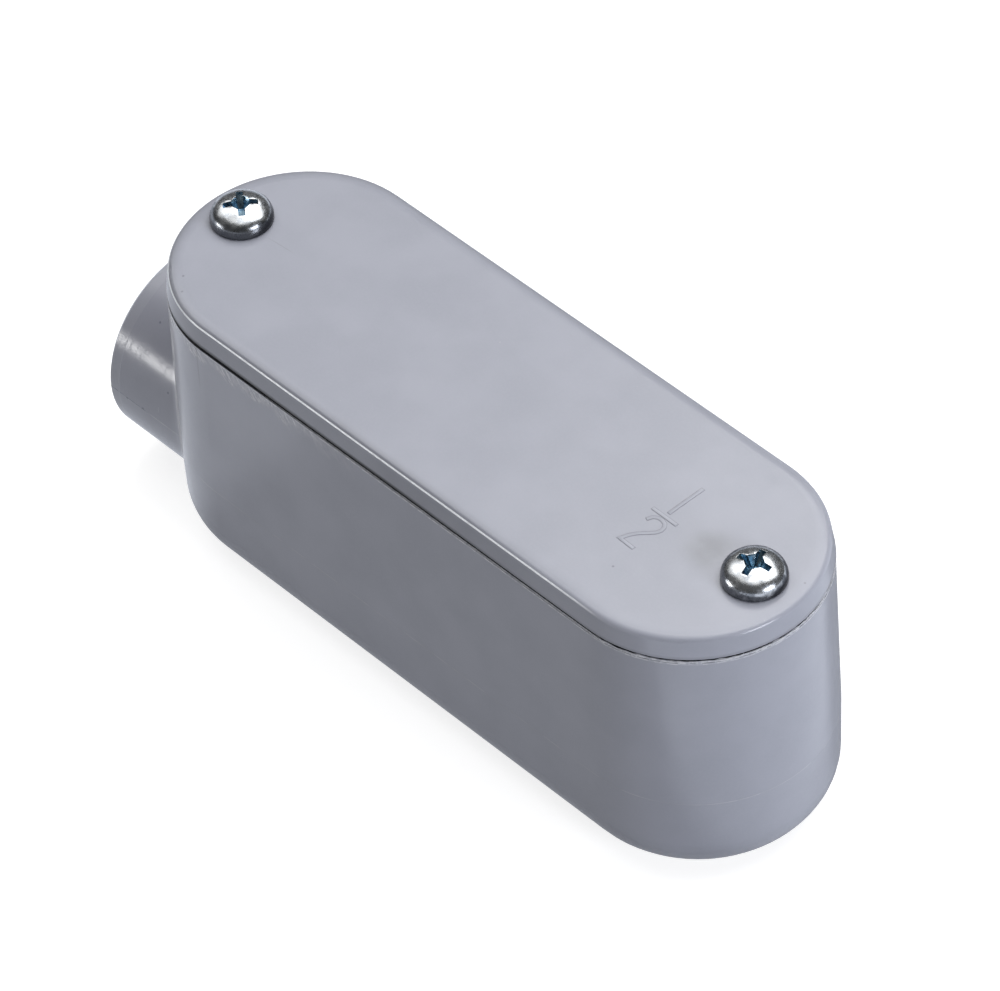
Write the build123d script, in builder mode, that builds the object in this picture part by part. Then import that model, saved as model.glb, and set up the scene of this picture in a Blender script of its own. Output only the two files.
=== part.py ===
# Type E conduit body for half inch rigid plastic conduit.
# A moulded housing with one socket hub is closed by a gasket and a cover, held by two pan head screws.
# +Z points out of the cover, the hub points along -X, and the origin is on the back face,
# under the middle of the whole object. Sizes are in millimetres and angles in degrees.
import os
from math import radians, tan

from build123d import *

# Plan of the rim and cover: two end arcs joined by straight sides
rim_width = 33.5
arc_spacing = 67.8

# Housing, outside
hub_diameter = 27.7
hub_reach = 7.25
hub_back_step = 0.15
hub_mouth_chamfer = 0.55
rim_above_parting = 24.2
front_draft = 1.0
back_draft = 0.7
back_edge_radius = 6.5

# Housing, inside
rim_wall = 2.8
back_wall = 3.0
core_draft = 0.5
cavity_edge_chamfer = 2.0

# Hub socket for the conduit, its stop and the throat for the wires
socket_diameter = 21.5
socket_depth = 16.6
socket_lead_in = 0.8
stop_length = 3.2
throat_diameter = 15.8
throat_edge_chamfer = 1.4
collar_shoulder_rise = 6.0

# Screws and their bosses
screw_inset = 6.35
thread_diameter = 4.1
thread_clearance = 0.05
screw_length = 12.7
boss_wall = 2.2
boss_bore_spare = 1.6
head_diameter = 8.0
head_height = 2.9
head_crown = 0.9
head_edge_chamfer = 1.2

# Cross recess in each screw head, and how far each screw happens to be turned
recess_width = 4.6
recess_wing = 0.95
recess_depth = 2.0
recess_floor_diameter = 1.7
recess_core_diameter = 2.3
hub_end_recess_angle = 53
blank_end_recess_angle = 14

# Gasket
gasket_thickness = 0.6
gasket_inset = 0.3
gasket_width = 2.3
gasket_eye_wall = 1.6

# Cover
cover_thickness = 3.2
cover_draft = 8.5
cover_edge_radius = 0.8
cover_crown_width = 1.4
cover_crown_drop = 0.3
cover_crown_radius = 4.5
cover_web = 2.0
cover_seat_width = 3.6
cover_hole_diameter = 4.7
cover_pad_wall = 2.2
lip_height = 1.3
lip_width = 1.4
lip_clearance = 0.35
lip_end_gap = 3.0


def spread(distance, draft):
    """Sideways growth of a drafted wall over a distance along the draw."""
    return distance * tan(radians(draft))


# Heights of the main planes above the back face
hub_radius = hub_diameter / 2
parting_z = hub_radius + hub_back_step
rim_z = parting_z + rim_above_parting
cover_z = rim_z + gasket_thickness
front_z = cover_z + cover_thickness
boss_floor_z = front_z - screw_length - boss_bore_spare

# Widths of the drafted walls
parting_width = rim_width + 2 * spread(rim_above_parting, front_draft)
cavity_width = rim_width - 2 * rim_wall

# Places along the length, with the rim's middle set so that the whole object is centred
rim_end = (arc_spacing + rim_width) / 2
screw_spacing = 2 * (rim_end - screw_inset)
parting_end = (arc_spacing + parting_width) / 2
hub_mouth = rim_end + hub_reach
rim_x = (hub_mouth - parting_end) / 2
hub_mouth_x = rim_x - hub_mouth
socket_stop_x = hub_mouth_x + socket_depth
collar_end_x = socket_stop_x + stop_length
hub_screw_x = rim_x - screw_spacing / 2
blank_screw_x = rim_x + screw_spacing / 2

# Bores and lugs at the screws: each lug reaches from its screw into the middle of the rim
boss_bore_diameter = thread_diameter + 2 * thread_clearance
boss_diameter = boss_bore_diameter + 2 * boss_wall
lug_reach = screw_inset - rim_wall / 2


def level(height):
    """A drawing plane at a height, centred under the middle of the rim."""
    return Plane(origin=(rim_x, 0, height), x_dir=(1, 0, 0), z_dir=(0, 0, 1))


def across(x):
    """A drawing plane across the hub's axis, facing out of the hub mouth."""
    return Plane(origin=(x, 0, parting_z), x_dir=(0, -1, 0), z_dir=(-1, 0, 0))


def lugs(diameter):
    """Draw a rounded lug round each screw, running out to the rim."""
    with PolarLocations(screw_spacing / 2, 2):
        Circle(diameter / 2)
        Rectangle(lug_reach, diameter, align=(Align.MIN, Align.CENTER))


# The wiring space, as the mould core that leaves it: less the hub's collar and the screw bosses
with BuildPart() as core:
    with BuildSketch(level(rim_z)):
        SlotCenterToCenter(arc_spacing, cavity_width)
    extrude(amount=back_wall - rim_z, taper=core_draft)
    chamfer(core.faces().sort_by(Axis.Z)[0].edges(), cavity_edge_chamfer)
    with BuildSketch(across(collar_end_x)):
        Circle(hub_radius)
        with Locations((0, collar_shoulder_rise)):
            Rectangle(rim_width, parting_z + collar_shoulder_rise, align=(Align.CENTER, Align.MAX))
    extrude(amount=collar_end_x - hub_mouth_x, mode=Mode.SUBTRACT)
    with BuildSketch(level(rim_z)):
        lugs(boss_diameter)
    extrude(amount=-rim_z, mode=Mode.SUBTRACT)

# The housing: two drafted halves about the parting plane, with the hub's axis on that plane.
# The socket, its stop and the flared throat are one turned profile.
with BuildPart() as housing:
    with BuildSketch(level(parting_z)):
        SlotCenterToCenter(arc_spacing, parting_width)
    extrude(amount=rim_above_parting, taper=front_draft)
    with BuildSketch(level(parting_z)):
        SlotCenterToCenter(arc_spacing, parting_width)
    extrude(amount=-parting_z, taper=back_draft)
    fillet(housing.faces().sort_by(Axis.Z)[0].edges(), back_edge_radius)
    with BuildSketch(across(collar_end_x)):
        Circle(hub_radius)
    extrude(amount=collar_end_x - hub_mouth_x)
    chamfer(housing.faces().sort_by(Axis.X)[0].edges(), hub_mouth_chamfer)
    add(core.part, mode=Mode.SUBTRACT)
    with BuildSketch(Plane(origin=(0, 0, parting_z), x_dir=(1, 0, 0), z_dir=(0, -1, 0))):
        with BuildLine():
            Polyline(
                (hub_mouth_x, 0),
                (hub_mouth_x, socket_diameter / 2 + socket_lead_in),
                (hub_mouth_x + socket_lead_in, socket_diameter / 2),
                (socket_stop_x, socket_diameter / 2),
                (socket_stop_x, throat_diameter / 2),
                (collar_end_x - throat_edge_chamfer, throat_diameter / 2),
                (collar_end_x, throat_diameter / 2 + throat_edge_chamfer),
                (collar_end_x, 0),
                close=True,
            )
        make_face()
    revolve(axis=Axis((0, 0, parting_z), (1, 0, 0)), mode=Mode.SUBTRACT)
    with BuildSketch(level(boss_floor_z)):
        with PolarLocations(screw_spacing / 2, 2):
            Circle(boss_bore_diameter / 2)
    extrude(amount=rim_z - boss_floor_z, mode=Mode.SUBTRACT)

# The gasket: a thin ring on the rim, with an eye round each screw
with BuildPart() as gasket:
    gasket_outside = rim_width - 2 * gasket_inset
    with BuildSketch(level(rim_z)):
        SlotCenterToCenter(arc_spacing, gasket_outside)
        SlotCenterToCenter(arc_spacing, gasket_outside - 2 * gasket_width, mode=Mode.SUBTRACT)
        lugs(cover_hole_diameter + 2 * gasket_eye_wall)
        with PolarLocations(screw_spacing / 2, 2):
            Circle(cover_hole_diameter / 2, mode=Mode.SUBTRACT)
    extrude(amount=gasket_thickness)

# The cover: a drafted plate, its front falling away softly to a rounded edge,
# relieved behind and located by two lips. Each half section is turned at its end and drawn along one side.
with BuildPart() as cover:
    crown_edge = rim_width / 2 - spread(cover_thickness - cover_crown_drop, cover_draft)
    for end in (-1, 1):
        end_x = rim_x + end * arc_spacing / 2
        with BuildSketch(Plane(origin=(end_x, 0, 0), x_dir=(0, -end, 0), z_dir=(-end, 0, 0))) as section:
            with BuildLine():
                Polyline(
                    (0, cover_z),
                    (rim_width / 2, cover_z),
                    (crown_edge, front_z - cover_crown_drop),
                    (crown_edge - cover_crown_width, front_z),
                    (0, front_z),
                    close=True,
                )
            make_face()
            fillet(section.vertices().group_by(Axis.Y)[1], cover_edge_radius)
            fillet(section.vertices().group_by(Axis.Y)[-1].sort_by(Axis.X)[-1], cover_crown_radius)
        revolve(axis=Axis((end_x, 0, 0), (0, 0, 1)), revolution_arc=180)
        extrude(section.sketch, amount=arc_spacing)
    with BuildSketch(level(cover_z)):
        SlotCenterToCenter(arc_spacing, rim_width - 2 * cover_seat_width)
        with PolarLocations(screw_spacing / 2, 2):
            Circle(cover_hole_diameter / 2 + cover_pad_wall, mode=Mode.SUBTRACT)
    extrude(amount=cover_thickness - cover_web, mode=Mode.SUBTRACT)
    lip_offset = cavity_width / 2 - lip_clearance - lip_width / 2
    with BuildSketch(level(cover_z - lip_height)):
        with Locations((0, -lip_offset), (0, lip_offset)):
            Rectangle(arc_spacing - 2 * lip_end_gap, lip_width)
    extrude(amount=lip_height + cover_thickness - cover_web)
    with BuildSketch(level(cover_z)):
        with PolarLocations(screw_spacing / 2, 2):
            Circle(cover_hole_diameter / 2)
    extrude(amount=cover_thickness, mode=Mode.SUBTRACT)

# The driver recess: a cross whose wings run in towards its floor, with a round core
with BuildPart() as recess:
    cut_height = recess_depth + head_crown
    wing_flare = (recess_width - recess_floor_diameter) / recess_depth
    for turn in (0, 90):
        with BuildSketch(Plane.XY.rotated((0, 0, turn))):
            Rectangle(recess_floor_diameter, recess_wing)
        with BuildSketch(Plane.XY.offset(cut_height).rotated((0, 0, turn))):
            Rectangle(recess_floor_diameter + wing_flare * cut_height, recess_wing)
        loft(ruled=True)
    Cone(
        recess_floor_diameter / 2,
        recess_core_diameter / 2,
        recess_depth,
        align=(Align.CENTER, Align.CENTER, Align.MIN),
    )


def pan_head_screw(x, recess_angle):
    """A pan head screw seated on the cover; its thread is drawn at its outer diameter."""
    thread_radius = thread_diameter / 2
    head_radius = head_diameter / 2
    crown_radius = (head_radius**2 + head_crown**2) / (2 * head_crown)
    with BuildPart() as screw:
        with BuildSketch(Plane(origin=(x, 0, front_z), x_dir=(1, 0, 0), z_dir=(0, -1, 0))) as profile:
            with BuildLine():
                side = Polyline(
                    (0, head_height),
                    (0, -screw_length),
                    (thread_radius, -screw_length),
                    (thread_radius, 0),
                    (head_radius, 0),
                    (head_radius, head_height - head_crown),
                )
                RadiusArc(side @ 1, side @ 0, -crown_radius)
            make_face()
            crown_corner = profile.vertices().group_by(Axis.X)[-1].sort_by(Axis.Y)[-1]
            chamfer(crown_corner, head_edge_chamfer)
        revolve(axis=Axis((x, 0, 0), (0, 0, 1)))
        with Locations(Location((x, 0, front_z + head_height - recess_depth), (0, 0, recess_angle))):
            add(recess.part, mode=Mode.SUBTRACT)
    return screw


screw_hub_end = pan_head_screw(hub_screw_x, hub_end_recess_angle)
screw_blank_end = pan_head_screw(blank_screw_x, blank_end_recess_angle)

housing.part.label = "housing"
gasket.part.label = "gasket"
cover.part.label = "cover"
screw_hub_end.part.label = "screw_hub_end"
screw_blank_end.part.label = "screw_blank_end"

os.makedirs("parts", exist_ok=True)
for piece in (housing, gasket, cover, screw_hub_end, screw_blank_end):
    export_step(piece.part, f"parts/{piece.part.label}.step")
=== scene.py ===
# Looks for the grey moulded conduit body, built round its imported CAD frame.
# Metres, +Z out of the cover, the hub along -X, the back of the housing on the floor.
from math import atan2, cos, hypot, pi, radians, sin
import bpy
from mathutils import Matrix, Vector


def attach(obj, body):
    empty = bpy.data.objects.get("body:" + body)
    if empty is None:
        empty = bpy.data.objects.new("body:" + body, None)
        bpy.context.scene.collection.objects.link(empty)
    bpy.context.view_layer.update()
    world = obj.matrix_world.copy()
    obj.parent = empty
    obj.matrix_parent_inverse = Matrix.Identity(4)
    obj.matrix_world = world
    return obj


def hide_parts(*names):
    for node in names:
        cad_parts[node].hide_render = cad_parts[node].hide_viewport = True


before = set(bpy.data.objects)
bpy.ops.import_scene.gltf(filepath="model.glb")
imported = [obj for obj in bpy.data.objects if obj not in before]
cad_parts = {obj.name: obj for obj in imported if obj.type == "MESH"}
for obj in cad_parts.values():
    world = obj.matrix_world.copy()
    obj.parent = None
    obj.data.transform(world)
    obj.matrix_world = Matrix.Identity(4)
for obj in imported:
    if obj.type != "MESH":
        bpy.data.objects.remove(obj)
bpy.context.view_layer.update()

MM = 0.001

# Places on the object, in millimetres, as the CAD has them
rim_x = 3.414
arc_offset = 33.9
rim_half_width = 16.75
rim_z = 38.2
cover_z = 38.8
front_z = 42.0
parting_z = 14.0
hub_mouth_x = -54.486
screw_places = {"screw_hub_end": -40.886, "screw_blank_end": 47.714}
recess_turns = {"screw_hub_end": 53, "screw_blank_end": 14}
head_shift = {"screw_hub_end": (-0.15, -0.1), "screw_blank_end": (-0.4, 0.25)}

# Where the photograph shows single marks
smudge_place = (40.3, -0.3, 42.0)
cover_scratch = ((-36.6, -0.2), (-31.5, 0.15))
scratch_width = 0.1
cover_specks = ((-38.7, -11.9, 42.0), (-36.8, -13.8, 42.0), (52.1, 3.7, 42.0), (34.2, -9.8, 42.0))
hub_line_z = 14.05
housing_specks = ((-47.8, -13.8, 14.2), (-50.9, -13.8, 13.9), (-49.0, -8.6, 24.8), (-43.5, -12.9, 19.2))

# Camera, at the photograph's place
camera_azimuth = 49.186
camera_elevation = 45.811
camera_roll = -4.007
camera_distance = 727.549
camera_target = (6.376, -2.296, 28.362)
camera_lens = 217.2
camera_sensor = 36


# Getting hold of things

def clear_selection():
    """Let go of everything, so that an operator acts only on what comes next."""
    bpy.ops.object.select_all(action="DESELECT")


def take(piece):
    """Make one piece the only selected and active one."""
    clear_selection()
    piece.select_set(True)
    bpy.context.view_layer.objects.active = piece


def settle(piece):
    """Put the piece's origin at the frame's origin, its place in its own mesh."""
    take(piece)
    bpy.ops.object.transform_apply(location=True, rotation=True, scale=True)


def pick_points(piece, wanted):
    """In edit mode, select the corners that a rule on their place in millimetres asks for."""
    bpy.ops.object.mode_set(mode="OBJECT")
    mesh = piece.data
    for face in mesh.polygons:
        face.select = False
    for edge in mesh.edges:
        edge.select = False
    for point in mesh.vertices:
        point.select = bool(wanted(point.co / MM))
    bpy.ops.object.mode_set(mode="EDIT")
    bpy.ops.mesh.select_mode(type="VERT")


# Modelling

def draw_line(name, points, closed=False):
    """A chain of edges through points in millimetres, grown from one corner by extruding."""
    clear_selection()
    first = Vector(points[0]) * MM
    bpy.ops.mesh.primitive_circle_add(vertices=3, radius=MM, location=first)
    piece = bpy.context.object
    piece.name = name
    settle(piece)
    bpy.ops.object.mode_set(mode="EDIT")
    bpy.ops.mesh.select_all(action="SELECT")
    bpy.ops.mesh.merge(type="CENTER")
    here = first
    chain = list(points[1:]) + ([points[0]] if closed else [])
    for point in chain:
        there = Vector(point) * MM
        bpy.ops.mesh.extrude_region_move(TRANSFORM_OT_translate={"value": there - here})
        here = there
    if closed:
        bpy.ops.mesh.select_all(action="SELECT")
        bpy.ops.mesh.remove_doubles(threshold=1e-7)
    bpy.ops.object.mode_set(mode="OBJECT")
    return piece


def turn_round(piece, centre_x, steps):
    """Spin a drawn profile once round an upright axis and close it up."""
    take(piece)
    bpy.ops.object.mode_set(mode="EDIT")
    bpy.ops.mesh.select_all(action="SELECT")
    bpy.ops.mesh.spin(steps=steps, angle=2 * pi, center=(centre_x * MM, 0, 0), axis=(0, 0, 1))
    bpy.ops.mesh.select_all(action="SELECT")
    bpy.ops.mesh.remove_doubles(threshold=2e-6)
    bpy.ops.mesh.normals_make_consistent(inside=False)
    bpy.ops.object.mode_set(mode="OBJECT")


def pull_apart(piece):
    """Move the two halves of a ring apart, so that it follows the rim's rounded oblong."""
    for side in (-1, 1):
        pick_points(piece, lambda p: (p.x - rim_x) * side > 0)
        bpy.ops.transform.translate(value=(side * arc_offset * MM, 0, 0))
    bpy.ops.object.mode_set(mode="OBJECT")


def rim_ring(name, profile, steps=150):
    """A ring round the body: profile gives (distance out from the rim's axis, height) pairs."""
    ring = draw_line(name, [(rim_x + out, 0, height) for out, height in profile], closed=True)
    turn_round(ring, rim_x, steps)
    pull_apart(ring)
    return ring


def apply_all(piece):
    """Apply a piece's modifiers in order."""
    take(piece)
    for modifier in list(piece.modifiers):
        bpy.ops.object.modifier_apply(modifier=modifier.name)


def soften(piece, width, segments=2, angle=35):
    """Round a piece's sharp edges and shade it smooth."""
    bevel = piece.modifiers.new("soft_edges", "BEVEL")
    bevel.width = width * MM
    bevel.segments = segments
    bevel.limit_method = "ANGLE"
    bevel.angle_limit = radians(angle)
    apply_all(piece)
    take(piece)
    bpy.ops.object.shade_smooth_by_angle(angle=radians(40))


def finish_piece(piece, body, slot, *materials):
    """Give a piece its finish and tie it to its body in the frame."""
    piece.data.materials.clear()
    for material in materials:
        piece.data.materials.append(material)
    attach(piece, body)
    return piece


# Shader building

class Shader:
    """A new material's nodes, with short words for the few kinds used here."""

    def __init__(self, name):
        self.material = bpy.data.materials.new(name)
        self.material.use_nodes = True
        self.tree = self.material.node_tree
        self.surface = self.tree.nodes["Principled BSDF"]
        self.place = self.add("ShaderNodeTexCoord", {}).outputs["Object"]

    def add(self, kind, inputs, **settings):
        node = self.tree.nodes.new(kind)
        for key, value in settings.items():
            setattr(node, key, value)
        self.feed(node, inputs)
        return node

    def feed(self, node, inputs):
        for key, value in inputs.items():
            if isinstance(value, bpy.types.NodeSocket):
                self.tree.links.new(value, node.inputs[key])
            else:
                node.inputs[key].default_value = value

    def noise(self, size, detail=3, rough=0.5, stretch=(1, 1, 1), tilt=0):
        """A clouded value; size is in millimetres.

        Stretch drags it out along the axes and tilt, in degrees, turns that about Y.
        """
        scale = [1 / s for s in stretch]
        turned = self.add("ShaderNodeMapping", {"Vector": self.place, "Rotation": (0, radians(tilt), 0)})
        mapped = self.add("ShaderNodeMapping", {"Vector": turned.outputs[0], "Scale": scale})
        cloud = self.add(
            "ShaderNodeTexNoise",
            {"Vector": mapped.outputs[0], "Scale": 1 / (size * MM), "Detail": detail, "Roughness": rough},
        )
        return cloud.outputs["Fac"]

    def ramp(self, value, low, high, to_low=0.0, to_high=1.0):
        """A value brought smoothly from one span to another and held at its ends."""
        node = self.add(
            "ShaderNodeMapRange",
            {"Value": value, "From Min": low, "From Max": high, "To Min": to_low, "To Max": to_high},
            interpolation_type="SMOOTHSTEP",
        )
        return node.outputs["Result"]

    def math(self, operation, first, second):
        return self.add("ShaderNodeMath", {0: first, 1: second}, operation=operation).outputs[0]

    def blend(self, factor, first, second):
        node = self.add("ShaderNodeMix", {0: factor}, data_type="RGBA")
        self.feed(node, {6: first, 7: second})
        return node.outputs[2]

    def axis(self, letter):
        """One coordinate of the place, in millimetres."""
        parts = self.add("ShaderNodeSeparateXYZ", {0: self.place})
        return self.math("DIVIDE", parts.outputs[letter], MM)

    def reach(self, centre_x):
        """How far a place is from an upright axis on the long middle line, in millimetres."""
        aside = self.math("SUBTRACT", self.axis("X"), centre_x)
        squares = self.math("ADD", self.math("POWER", aside, 2), self.math("POWER", self.axis("Y"), 2))
        return self.math("SQRT", squares, 0)

    def oblong(self):
        """How far a place is, in plan, from the straight line between the two end arcs' centres."""
        along = self.math("ABSOLUTE", self.math("SUBTRACT", self.axis("X"), rim_x), 0)
        past = self.math("MAXIMUM", self.math("SUBTRACT", along, arc_offset), 0)
        squares = self.math("ADD", self.math("POWER", past, 2), self.math("POWER", self.axis("Y"), 2))
        return self.math("SQRT", squares, 0)

    def scratch(self, start, end, width):
        """A mask for a thin line on the cover, from start to end in plan."""
        heading = atan2(end[1] - start[1], end[0] - start[0])
        length = hypot(end[0] - start[0], end[1] - start[1])
        moved = self.add("ShaderNodeVectorMath", {0: self.place, 1: (start[0] * MM, start[1] * MM, 0)})
        moved.operation = "SUBTRACT"
        turned = self.add("ShaderNodeMapping", {"Vector": moved.outputs[0], "Rotation": (0, 0, -heading)})
        parts = self.add("ShaderNodeSeparateXYZ", {0: turned.outputs[0]})
        aside = self.math("ABSOLUTE", parts.outputs["Y"], 0)
        across = self.ramp(aside, width * MM, width * 0.3 * MM)
        starts = self.ramp(parts.outputs["X"], 0, 0.3 * length * MM)
        ends = self.ramp(parts.outputs["X"], length * MM, 0.7 * length * MM)
        return self.math("MULTIPLY", across, self.math("MULTIPLY", starts, ends))

    def band(self, value, low, high, soft):
        """A mask that is whole between two values and fades out over a soft margin."""
        return self.math("MULTIPLY", self.ramp(value, low - soft, low), self.ramp(value, high + soft, high))

    def spot(self, centre, inner, outer):
        """A soft round mask about a place in millimetres."""
        away = self.add("ShaderNodeVectorMath", {0: self.place, 1: [c * MM for c in centre]})
        away.operation = "DISTANCE"
        return self.ramp(away.outputs["Value"], outer * MM, inner * MM)

    def bump(self, height, depth, below=None):
        """Bump from a 0 to 1 height, depth in millimetres."""
        inputs = {"Height": height, "Distance": depth * MM, "Strength": 1.0}
        if below is not None:
            inputs["Normal"] = below
        return self.add("ShaderNodeBump", inputs).outputs[0]


def rgb(red, green, blue):
    return (red, green, blue, 1)


def grey_plastic(name, colouring=None):
    """Moulded grey plastic: faint clouds and flow in the colour, a fine grain and an uneven gloss.

    A colouring adds what only one piece shows: it gets the shader, colour, roughness and normal,
    and returns the last three.
    """
    s = Shader(name)
    clouds = s.noise(9, 4)
    grain = s.noise(0.35, 2)
    flow = s.noise(1.6, 3, 0.6, stretch=(6, 1, 1))
    colour = s.blend(s.ramp(clouds, 0.3, 0.7), rgb(0.403, 0.415, 0.477), rgb(0.435, 0.447, 0.512))
    colour = s.blend(s.ramp(grain, 0.35, 0.75, 0, 0.16), colour, rgb(0.47, 0.481, 0.533))
    rough = s.ramp(s.noise(3, 4, 0.6), 0.3, 0.7, 0.15, 0.21)
    rough = s.math("ADD", rough, s.ramp(flow, 0.5, 0.8, 0, 0.04))
    normal = s.bump(grain, 0.0022)
    normal = s.bump(s.noise(5, 2), 0.012, below=normal)
    if colouring:
        colour, rough, normal = colouring(s, colour, rough, normal)
    s.feed(s.surface, {"Base Color": colour, "Roughness": rough, "Normal": normal, "IOR": 1.5})
    return s.material


def cover_marks(s, colour, rough, normal):
    """The cover's edge with painted shade and a painted highlight, painted shade above the seam, specks, a
    smudge and a faint scratch.
    """
    height = s.axis("Z")
    across = s.axis("X")

    # The rounded edge: painted shade towards its foot on the near side
    shade = s.ramp(height, front_z - 0.01, front_z - 0.38, 0, 0.5)
    shade = s.math("MULTIPLY", shade, s.ramp(height, front_z - 0.85, front_z - 0.5, 0.45, 1))
    shade = s.math("MULTIPLY", shade, s.ramp(across, 38, 5))
    colour = s.blend(shade, colour, rgb(0.13, 0.13, 0.145))
    # Painted highlight: a pale line where the edge catches the low strip lamp, broken up as if rubbed
    rubbed_highlight = s.band(height, front_z - 0.64, front_z - 0.48, 0.06)
    rubbed_highlight = s.math("MULTIPLY", rubbed_highlight, s.band(across, -40, 30, 9))
    rubbed_highlight = s.math("MULTIPLY", rubbed_highlight, s.ramp(s.noise(1.2, 3), 0.25, 0.5, 0.7, 1.0))
    colour = s.blend(rubbed_highlight, colour, rgb(0.92, 0.95, 1.0))

    # Painted shade above the seam, then single marks
    cover_seam_shade = s.ramp(height, cover_z + 0.5, cover_z + 0.1, 0, 0.85)
    cover_seam_shade = s.math("MULTIPLY", cover_seam_shade, s.ramp(across, 30, 0, 0.25, 1))
    colour = s.blend(cover_seam_shade, colour, rgb(0.06, 0.06, 0.065))
    pale = s.ramp(s.noise(0.5, 2), 0.77, 0.8, 0, 0.4)
    colour = s.blend(pale, colour, rgb(0.62, 0.62, 0.6))
    for place in cover_specks:
        colour = s.blend(s.math("MULTIPLY", s.spot(place, 0.05, 0.24), 0.5), colour, rgb(0.15, 0.15, 0.17))
    smudge = s.math("MULTIPLY", s.spot(smudge_place, 1, 4), s.ramp(s.noise(3, 3), 0.3, 0.6, 0.4, 1))
    colour = s.blend(s.math("MULTIPLY", smudge, 0.4), colour, rgb(0.29, 0.3, 0.32))
    line = s.scratch(*cover_scratch, scratch_width)
    colour = s.blend(s.math("MULTIPLY", line, 0.3), colour, rgb(0.3, 0.31, 0.33))
    return colour, rough, s.bump(line, -0.01, below=normal)


def housing_marks(s, colour, rough, normal):
    """The housing's smears under the rim, a painted highlight on the rim's edge, painted shade in the seam
    and on the hub, a painted sheen beside the hub, hub scratches, mould lines and specks.
    """
    across, near, height = s.axis("X"), s.axis("Y"), s.axis("Z")
    near_side = s.ramp(near, -9, -13)

    # White smears feathering down from the rim, on the near side by the hub
    waver = s.ramp(s.noise(3, 3, 0.6), 0.3, 0.7, -0.7, 0.7)
    level = s.math("ADD", height, waver)
    strokes = s.ramp(s.noise(0.34, 4, 0.75, stretch=(1, 1, 5), tilt=34), 0.4, 0.62)
    soft = s.ramp(s.noise(1.4, 3, 0.6), 0.4, 0.65, 0, 0.55)
    smear = s.math("MAXIMUM", strokes, soft)
    smear = s.math("MULTIPLY", smear, s.band(level, rim_z - 1.1, rim_z + 1, 1.3))
    smear = s.math("MULTIPLY", smear, s.math("MULTIPLY", near_side, s.ramp(across, 0, -14, 0, 0.6)))

    # A painted highlight along the rim's edge, chipped here and there
    chips = s.ramp(s.noise(0.5, 3, 0.7, stretch=(2, 2, 1)), 0.45, 0.6, 0.3, 0.8)
    rubbed_highlight = s.math("MULTIPLY", s.band(height, rim_z - 0.28, rim_z - 0.12, 0.08), chips)
    wear_and_highlight = s.math("MAXIMUM", smear, rubbed_highlight)
    colour = s.blend(wear_and_highlight, colour, rgb(0.66, 0.66, 0.69))
    rough = s.math("ADD", rough, s.math("MULTIPLY", wear_and_highlight, 0.2))
    # Painted shade: the outer strip of the rim's top is darkened to stand for the seam's shadow
    seam_shadow = s.ramp(height, rim_z - 0.06, rim_z - 0.02, 0, 0.8)
    seam_shadow = s.math("MULTIPLY", seam_shadow, s.ramp(s.oblong(), rim_half_width - 0.65, rim_half_width - 0.45))
    colour = s.blend(seam_shadow, colour, rgb(0.05, 0.05, 0.055))

    # Painted sheen: a pale band on the hub end beside the hub
    from_end = s.reach(rim_x - arc_offset)
    painted_sheen = s.math("MULTIPLY", s.ramp(across, -34, -41, 0, 0.42), s.band(from_end, 16.4, 17.3, 0.1))
    colour = s.blend(s.math("MULTIPLY", painted_sheen, near_side), colour, rgb(0.75, 0.75, 0.78))

    # The hub: painted shade half way up, with fine scratches round it and a shallow step near its mouth
    rings = s.noise(0.42, 4, 0.75, stretch=(0.7, 12, 12))
    on_hub = s.math("MULTIPLY", s.ramp(across, -40, -43), s.ramp(from_end, 17.3, 17.8))
    hub_shade = s.math("MULTIPLY", on_hub, s.band(height, 11, 24, 7))
    colour = s.blend(s.math("MULTIPLY", hub_shade, 0.36), colour, rgb(0.17, 0.17, 0.21))
    fine = s.math("MULTIPLY", s.ramp(rings, 0.5, 0.68), on_hub)
    normal = s.bump(fine, 0.006, below=normal)
    rough = s.math("ADD", rough, s.math("MULTIPLY", fine, 0.06))
    rough = s.math("ADD", rough, s.math("MULTIPLY", on_hub, 0.01))
    # Painted highlight: a faint pale band on the step near the mouth
    mouth = s.ramp(across, hub_mouth_x + 2.25, hub_mouth_x + 2.15)
    colour = s.blend(s.math("MULTIPLY", mouth, 0.05), colour, rgb(0.8, 0.8, 0.82))
    normal = s.bump(mouth, -0.02, below=normal)

    # Mould lines: dark and speckled along the hub, a pale thin step round the body
    hub_line = s.band(height, hub_line_z - 0.03, hub_line_z + 0.03, 0.05)
    hub_line = s.math("MULTIPLY", hub_line, s.ramp(across, -46, -48))
    hub_line = s.math("MULTIPLY", hub_line, s.ramp(near, 0, -5))
    hub_line = s.math("MULTIPLY", hub_line, s.ramp(s.noise(0.7, 3), 0.35, 0.6, 0.25, 0.8))
    colour = s.blend(hub_line, colour, rgb(0.12, 0.12, 0.15))
    body_line = s.band(height, parting_z - 0.03, parting_z + 0.03, 0.04)
    body_line = s.math("MULTIPLY", body_line, s.ramp(across, -47.5, -46.5))
    body_line = s.math("MULTIPLY", body_line, s.ramp(s.noise(2.5, 3), 0.35, 0.6, 0.15, 0.6))
    colour = s.blend(body_line, colour, rgb(0.7, 0.7, 0.73))
    normal = s.bump(s.ramp(height, parting_z - 0.04, parting_z + 0.04), 0.02, below=normal)
    # A thin darker upright line high on the near side, just into the hub end's arc
    upright_line = s.math("MULTIPLY", s.band(across, -31.5, -31.4, 0.12), s.ramp(height, 30, 34, 0, 0.3))
    colour = s.blend(s.math("MULTIPLY", upright_line, near_side), colour, rgb(0.2, 0.2, 0.22))
    for place in housing_specks:
        colour = s.blend(s.math("MULTIPLY", s.spot(place, 0.05, 0.26), 0.6), colour, rgb(0.1, 0.1, 0.13))
    return colour, rough, normal


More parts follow.
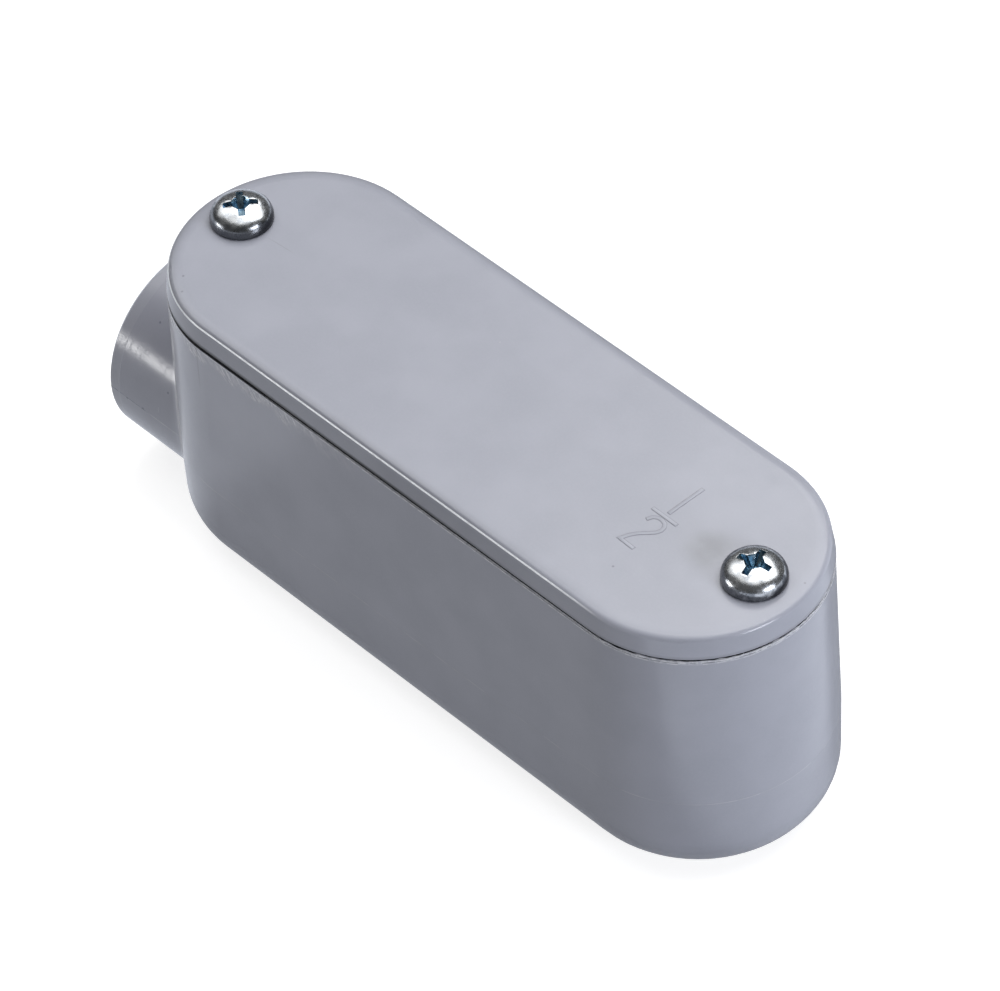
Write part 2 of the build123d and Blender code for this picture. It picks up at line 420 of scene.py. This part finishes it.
def flash_marks(s, colour, rough, normal):
    """Torn flash: whitened by stress."""
    torn = s.ramp(s.noise(0.6, 3, 0.6), 0.35, 0.6, 0.2, 0.7)
    return s.blend(torn, colour, rgb(0.8, 0.8, 0.82)), rough, normal


def mark_foot_shade(s, colour, rough, normal):
    """The foot of the raised size mark: uneven painted shade along both sides of each stroke."""
    uneven = s.ramp(s.noise(0.7, 3), 0.3, 0.6, 0.3, 0.6)
    return s.blend(uneven, colour, rgb(0.2, 0.2, 0.23)), rough, normal


def black_rubber():
    """Soft black sheet with a dusty cut edge."""
    s = Shader("gasket_rubber")
    dust = s.ramp(s.noise(0.8, 4, 0.6), 0.45, 0.75)
    colour = s.blend(dust, rgb(0.008, 0.008, 0.009), rgb(0.03, 0.03, 0.032))
    normal = s.bump(s.noise(0.2, 3), 0.01)
    s.feed(s.surface, {"Base Color": colour, "Roughness": s.ramp(dust, 0, 1, 0.6, 0.85), "Normal": normal})
    return s.material


def zinc_plate(name, light, dark, rough_low, rough_high, shoulder_shade=0.0):
    """Zinc plating: an even frost with fine pits, and painted shade on the head's shoulder and base,
    heavier on the far side, with a painted shadow at the foot.
    """
    s = Shader(name)
    stain = s.ramp(s.noise(0.8, 3, 0.55), 0.4, 0.7)
    pits = s.ramp(s.noise(0.11, 2, 0.6), 0.66, 0.74, 0, 0.35)
    colour = s.blend(stain, light, dark)
    if shoulder_shade:
        # Painted shade: a dark film on the head's shoulder, heavier on the far side, stands for the dark
        # things it mirrors
        reach = s.math("MINIMUM", *[s.reach(x) for x in screw_places.values()])
        uneven = s.math("ADD", reach, s.ramp(s.noise(0.8, 3), 0.3, 0.7, -0.15, 0.15))
        painted_shoulder = s.ramp(uneven, 3.2, 3.7, 0, shoulder_shade)
        painted_shoulder = s.math("MULTIPLY", painted_shoulder, s.ramp(s.axis("Y"), -2, 2, 0.85, 1.2))
        colour = s.blend(painted_shoulder, colour, rgb(0.055, 0.06, 0.07))
        # Painted shadow: the head's lower wall darkened, more on the far side, and a near-black line at its
        # foot
        base = s.ramp(s.axis("Z"), front_z + 1.9, front_z + 0.6, 0, 0.85)
        base = s.math("MULTIPLY", base, s.ramp(s.axis("Y"), -2.5, 0.5, 0.6, 1))
        base = s.math("MAXIMUM", base, s.ramp(s.axis("Z"), front_z + 0.4, front_z + 0.1, 0, 0.9))
        on_head = s.ramp(s.axis("Z"), front_z - 0.06, front_z)
        colour = s.blend(s.math("MULTIPLY", base, on_head), colour, rgb(0.02, 0.02, 0.025))
        pits = s.math("MULTIPLY", pits, s.ramp(reach, 2.6, 3.2, 0.3, 1))
    colour = s.blend(pits, colour, rgb(0.12, 0.13, 0.15))
    rough = s.ramp(s.noise(0.4, 3), 0.3, 0.7, rough_low, rough_high)
    normal = s.bump(s.noise(0.14, 2), 0.005)
    normal = s.bump(s.noise(0.9, 2), 0.01, below=normal)
    s.feed(s.surface, {"Base Color": colour, "Metallic": 1.0, "Roughness": rough, "Normal": normal})
    return s.material


# Studio

def place_camera():
    """A long lens at the photograph's viewing angle, tilted as it was held."""
    back = direction(camera_azimuth, camera_elevation)
    side = (-back).cross(Vector((0, 0, 1))).normalized()
    up = side.cross(-back)
    roll = radians(camera_roll)
    turned_side = side * cos(roll) + up * sin(roll)
    turned_up = up * cos(roll) - side * sin(roll)
    bpy.ops.object.camera_add()
    camera = bpy.context.object
    camera.name = "photo_camera"
    camera.data.lens = camera_lens
    camera.data.sensor_width = camera_sensor
    camera.data.clip_end = 10
    axes = Matrix((turned_side, turned_up, back)).transposed().to_4x4()
    place = (Vector(camera_target) + back * camera_distance) * MM
    camera.matrix_world = Matrix.Translation(place) @ axes
    bpy.context.scene.camera = camera


def direction(azimuth, elevation):
    """The way from the object towards a point round it: azimuth 0 is the near side, 90 the blank end."""
    a, e = radians(azimuth), radians(elevation)
    return Vector((sin(a) * cos(e), -cos(a) * cos(e), sin(e)))


def softbox(name, azimuth, elevation, distance, width, height, strength, colour=(1, 1, 1)):
    """A lamp facing the object; strength is what a white card facing it would send back."""
    way = direction(azimuth, elevation)
    bpy.ops.object.light_add(type="AREA")
    lamp = bpy.context.object
    lamp.name = name
    lamp.data.shape = "RECTANGLE"
    lamp.data.size = width
    lamp.data.size_y = height
    lamp.data.color = colour
    lamp.data.energy = strength * (pi * distance) ** 2
    lamp.rotation_euler = way.to_track_quat("Z", "Y").to_euler()
    lamp.location = Vector((0, 0, 0.03)) + way * distance


# The room: how bright it is in what mirrors it, the floor's side in metres and its gap in millimetres
room_in_mirrors = 0.09
floor_size = 6
floor_gap = 0.02


def light_room():
    """Soft studio light: big boxes behind, small ones above and at both ends, a strip low in front.

    The room is white to the camera and dim in what mirrors it.
    """
    softbox("lamp_back", 180, 63, 0.9, 1.05, 0.7, 0.65)
    softbox("lamp_back_left", -123, 71, 0.9, 1.2, 1.1, 0.435)
    softbox("lamp_left", -86, 45, 0.9, 0.55, 0.5, 0.09)
    softbox("lamp_top", 49, 76, 0.9, 0.45, 0.4, 0.075)
    softbox("lamp_strip", -36, 3, 0.7, 0.28, 0.09, 0.205)
    softbox("lamp_right", 92, 16, 0.9, 0.34, 0.26, 0.43, colour=(0.94, 0.98, 1.08))
    world = bpy.data.worlds.new("white_room")
    bpy.context.scene.world = world
    world.use_nodes = True
    tree = world.node_tree
    seen = tree.nodes.new("ShaderNodeLightPath")
    dim = tree.nodes.new("ShaderNodeMath")
    dim.operation = "MULTIPLY_ADD"
    dim.inputs[1].default_value = room_in_mirrors
    tree.links.new(seen.outputs["Is Glossy Ray"], dim.inputs[0])
    tree.links.new(seen.outputs["Is Camera Ray"], dim.inputs[2])
    tree.links.new(dim.outputs[0], tree.nodes["Background"].inputs["Strength"])
    tree.nodes["Background"].inputs["Color"].default_value = rgb(1, 1, 1)


def lay_floor():
    """A wide pale floor: white but for the object's faint shadow, and mirrored brighter at both ends."""
    clear_selection()
    bpy.ops.mesh.primitive_plane_add(size=floor_size, location=(0, 0, -floor_gap * MM))
    floor = bpy.context.object
    floor.name = "floor"
    s = Shader("white_floor")
    s.feed(s.surface, {"Base Color": rgb(0.5, 0.5, 0.5), "Roughness": 0.9, "Specular IOR Level": 0.0})
    seen = s.add("ShaderNodeLightPath", {})
    to_camera = s.math("MULTIPLY", seen.outputs["Is Camera Ray"], 0.82)
    s.feed(s.surface, {"Emission Color": rgb(1, 1, 1), "Emission Strength": to_camera})
    hub_side = s.ramp(s.axis("X"), -36, -46, 0.35, 0.73)
    blank_side = s.ramp(s.axis("X"), 50, 62, 0, 0.95)
    glow = {"Color": rgb(0.93, 0.98, 1.09), "Strength": s.math("ADD", hub_side, blank_side)}
    mirrored = s.add("ShaderNodeEmission", glow)
    either = s.add("ShaderNodeMixShader", {0: seen.outputs["Is Glossy Ray"]})
    s.feed(either, {1: s.surface.outputs[0], 2: mirrored.outputs[0]})
    s.tree.links.new(either.outputs[0], s.tree.nodes["Material Output"].inputs["Surface"])
    floor.data.materials.append(s.material)


# Pieces

# Screw, in millimetres: the same reach as the CAD's
head_height = 2.85
head_steps = 64
head_rounding = 0.09
head_profile = [
    (1.2, 2.77),
    (2.0, 2.61),
    (2.6, 2.4),
    (3.1, 2.13),
    (3.48, 1.82),
    (3.75, 1.47),
    (3.92, 1.05),
    (4.01, 0.6),
    (4.01, 0.15),
    (3.88, 0.0),
]
thread_radius = 2.05
thread_root = 1.62
thread_pitch = 0.79
thread_length = 12.7
thread_steps = 32
shank_in_head = 0.4
recess_depth = 2.0
recess_span = 4.9
recess_floor_span = 1.7
recess_reach = 2.5
wing_floor_width = 0.7125
wing_spread = 1.4
star_floor_radius = 0.8
star_mouth_radius = 2.1
cutter_stand = 1.0
crown_fall = 0.055


def threaded_shank(x):
    """A cut thread: one tooth drawn, swept up in a screw, then trimmed square at head and tip."""
    tip = front_z - thread_length
    turns = int(thread_length / thread_pitch) + 2
    low = tip - thread_pitch
    tooth = [
        (x + thread_root, 0, low),
        (x + thread_root, 0, low + 0.12 * thread_pitch),
        (x + thread_radius, 0, low + 0.5 * thread_pitch),
        (x + thread_radius, 0, low + 0.62 * thread_pitch),
        (x + thread_root, 0, low + thread_pitch),
    ]
    shank = draw_line("shank", tooth)
    shank.location.x = -x * MM
    settle(shank)
    sweep = shank.modifiers.new("thread", "SCREW")
    sweep.axis = "Z"
    sweep.steps = thread_steps
    sweep.render_steps = thread_steps
    sweep.screw_offset = thread_pitch * MM
    sweep.iterations = turns
    sweep.use_merge_vertices = True
    apply_all(shank)
    shank.location.x = x * MM
    settle(shank)
    bpy.ops.object.mode_set(mode="EDIT")
    for height, way in ((tip, -1), (front_z + shank_in_head, 1)):
        bpy.ops.mesh.select_all(action="SELECT")
        bpy.ops.mesh.bisect(
            plane_co=(0, 0, height * MM),
            plane_no=(0, 0, way),
            use_fill=True,
            clear_outer=True,
        )
    bpy.ops.mesh.select_all(action="SELECT")
    bpy.ops.mesh.remove_doubles(threshold=1e-7)
    bpy.ops.mesh.normals_make_consistent(inside=False)
    bpy.ops.object.mode_set(mode="OBJECT")
    return shank


def cross_cutter(x, turn, top):
    """The driver recess as cutting pieces: two wings running in towards its floor, and a star."""
    floor = top - recess_depth
    above = top + cutter_stand
    run = (recess_span - recess_floor_span) / recess_depth
    cutters = []
    for quarter in (0, 90):
        clear_selection()
        bpy.ops.mesh.primitive_cube_add(size=MM)
        wing = bpy.context.object
        wing.scale = (recess_floor_span, wing_floor_width, above - floor)
        wing.location.z = (above + floor) / 2 * MM
        settle(wing)
        pick_points(wing, lambda p: p.z > top)
        spread = (recess_floor_span + run * (above - floor)) / recess_floor_span
        bpy.ops.transform.resize(value=(spread, wing_spread, 1))
        bpy.ops.object.mode_set(mode="OBJECT")
        wing.rotation_euler.z = radians(turn + quarter)
        wing.location.x = x * MM
        settle(wing)
        cutters.append(wing)
    clear_selection()
    bpy.ops.mesh.primitive_cone_add(
        vertices=4,
        radius1=star_floor_radius * MM,
        radius2=star_mouth_radius * MM,
        depth=(above - floor) * MM,
        location=(x * MM, 0, (above + floor) / 2 * MM),
        rotation=(0, 0, radians(turn)),
    )
    star = bpy.context.object
    settle(star)
    cutters.append(star)
    return cutters


def cut_away(piece, cutters):
    """Cut each cutter out of a piece, then drop the cutters."""
    for cutter in cutters:
        cut = piece.modifiers.new("cut", "BOOLEAN")
        cut.operation = "DIFFERENCE"
        cut.solver = "EXACT"
        cut.object = cutter
        apply_all(piece)
        bpy.data.objects.remove(cutter)


def pan_head_screw(node, finish, recess_finish):
    """A pan head screw with a cross recess and a cut thread; the recess has a finish of its own."""
    x = screw_places[node]
    top = front_z + head_height
    outline = [(0.0, head_height)] + head_profile + [(0.0, 0.0)]
    head = draw_line(node + "_head", [(x + out, 0, front_z + height) for out, height in outline])
    turn_round(head, x, head_steps)
    cut_away(head, cross_cutter(x, recess_turns[node], top))
    soften(head, head_rounding, angle=30)
    shift = head_shift[node]
    head.location = (shift[0] * MM, shift[1] * MM, 0)
    settle(head)
    shank = threaded_shank(x)
    take(shank)
    bpy.ops.object.shade_smooth_by_angle(angle=radians(35))
    head.select_set(True)
    bpy.context.view_layer.objects.active = head
    bpy.ops.object.join()
    finish_piece(head, node, "zinc_steel", finish, recess_finish)
    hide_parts(node)
    for face in head.data.polygons:
        place = face.center / MM
        out = hypot(place.x - x - shift[0], place.y - shift[1])
        dome = top - crown_fall * out**2
        sunk = dome - recess_depth - 0.2 < place.z < dome - 0.12
        face.material_index = 1 if sunk and out < recess_reach else 0


# Size mark on the cover, in millimetres: a one, a bar and a two
mark_rise = 0.06
mark_width = 0.42
mark_rounding = 0.1
mark_root = 0.1
stroke_start = 0.02
mark_foot_rise = 0.012
mark_foot_margin = 0.09
mark_strokes = {
    "mark_one": [(32.96, 6.19), (32.85, 0.67)],
    "mark_bar": [(30.87, -0.02), (34.86, -0.07)],
    "mark_two": [
        (31.63, -1.78),
        (31.91, -1.05),
        (32.45, -0.72),
        (33.1, -0.66),
        (33.7, -0.86),
        (34.1, -1.35),
        (34.2, -1.95),
        (33.95, -2.6),
        (33.3, -3.3),
        (32.55, -4.06),
        (31.95, -4.98),
        (31.53, -6.06),
        (33.84, -6.15),
    ],
}


def stroke(name, points, width, rise, rounding):
    """One raised stroke: a flat strip led along its line, then raised and rounded."""
    clear_selection()
    start = Vector((*points[0], 0))
    heading = Vector((*points[1], 0)) - start
    bpy.ops.mesh.primitive_plane_add(size=1)
    strip = bpy.context.object
    strip.name = name
    strip.scale = (stroke_start * MM, width * MM, 1)
    strip.rotation_euler.z = atan2(heading.y, heading.x)
    base = front_z - mark_root
    strip.location = (start.x * MM, start.y * MM, base * MM)
    settle(strip)
    ways = [Vector((b[0] - a[0], b[1] - a[1], 0)) for a, b in zip(points, points[1:])]
    ahead = ways[0].normalized()
    pick_points(strip, lambda p: (p - Vector((start.x, start.y, base))).dot(ahead) > 0)
    last = 0
    for number, way in enumerate(ways):
        bpy.ops.mesh.extrude_region_move(TRANSFORM_OT_translate={"value": way * MM})
        end = Vector((*points[number + 1], base)) * MM
        turn = signed_turn(way, ways[number + 1]) if number + 1 < len(ways) else 0
        bpy.ops.transform.rotate(value=-(last + turn) / 2, orient_axis="Z", center_override=end)
        mitre = cos(last / 2) / cos(turn / 2)
        bpy.ops.transform.resize(value=(mitre, mitre, 1), center_override=end)
        last = turn
    bpy.ops.mesh.select_all(action="SELECT")
    bpy.ops.mesh.extrude_region_move(TRANSFORM_OT_translate={"value": (0, 0, (mark_root + rise) * MM)})
    bpy.ops.mesh.select_all(action="SELECT")
    bpy.ops.mesh.normals_make_consistent(inside=False)
    bpy.ops.object.mode_set(mode="OBJECT")
    if rounding:
        soften(strip, rounding, 3, 50)
    return strip


def lengthen(points, more):
    """A line drawn out at both ends."""
    first, second, before, last = (Vector(p) for p in (points[0], points[1], points[-2], points[-1]))
    head = first + (first - second).normalized() * more
    tail = last + (last - before).normalized() * more
    return [tuple(head), *points[1:-1], tuple(tail)]


def signed_turn(first, second):
    """How far the second heading is turned left of the first."""
    return atan2(first.x * second.y - first.y * second.x, first.x * second.x + first.y * second.y)


# Flash on the housing's outer edge, in millimetres: a thin fin, higher past each of three places
flash_profile = [(16.5, 38.1), (16.74, 38.04), (16.745, 38.14), (16.7, 38.18), (16.6, 38.17)]
flash_steps = (8, 26, 42)
flash_step_rise = 0.1
flash_torn_from = 20
flash_tear = 0.1


def torn_flash(finish):
    """Thin flash left standing on the housing's outer edge, rising and torn towards the blank end."""
    flash = rim_ring("rim_flash", flash_profile)
    for start in flash_steps:
        pick_points(flash, lambda p: p.x > start and p.z > rim_z - 0.08)
        bpy.ops.transform.translate(value=(0, 0, flash_step_rise * MM))
    pick_points(flash, lambda p: p.x > flash_torn_from and p.z > rim_z)
    bpy.ops.transform.vertex_random(offset=flash_tear * MM, seed=4)
    bpy.ops.object.mode_set(mode="OBJECT")
    finish_piece(flash, "housing", "grey_plastic", finish)


# Build

place_camera()
light_room()
lay_floor()

housing_grey = grey_plastic("housing_plastic", housing_marks)
cover_grey = grey_plastic("cover_plastic", cover_marks)
mark_grey = grey_plastic("mark_plastic")
foot_shade_grey = grey_plastic("mark_foot_shade_plastic", mark_foot_shade)
flash_grey = grey_plastic("flash_plastic", flash_marks)
rubber = black_rubber()
zinc = zinc_plate("screw_zinc", rgb(0.72, 0.74, 0.76), rgb(0.52, 0.55, 0.59), 0.2, 0.3, shoulder_shade=0.75)
blue_zinc = zinc_plate("recess_zinc", rgb(0.3, 0.43, 0.52), rgb(0.05, 0.11, 0.18), 0.16, 0.28)
for node, material in (("housing", housing_grey), ("cover", cover_grey), ("gasket", rubber)):
    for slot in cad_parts[node].material_slots:
        slot.material = material

for node in screw_places:
    pan_head_screw(node, zinc, blue_zinc)

for name, points in mark_strokes.items():
    ridge = stroke(name, points, mark_width, mark_rise, mark_rounding)
    finish_piece(ridge, "cover", "grey_plastic", mark_grey)
    # Painted shade: a thin dark sheet, a little wider than the stroke, at each stroke's foot
    foot_line = lengthen(points, mark_foot_margin)
    foot = stroke(name + "_foot", foot_line, mark_width + 2 * mark_foot_margin, mark_foot_rise, 0)
    finish_piece(foot, "cover", "grey_plastic", foot_shade_grey)

torn_flash(flash_grey)

bpy.context.scene.view_settings.view_transform = "Standard"
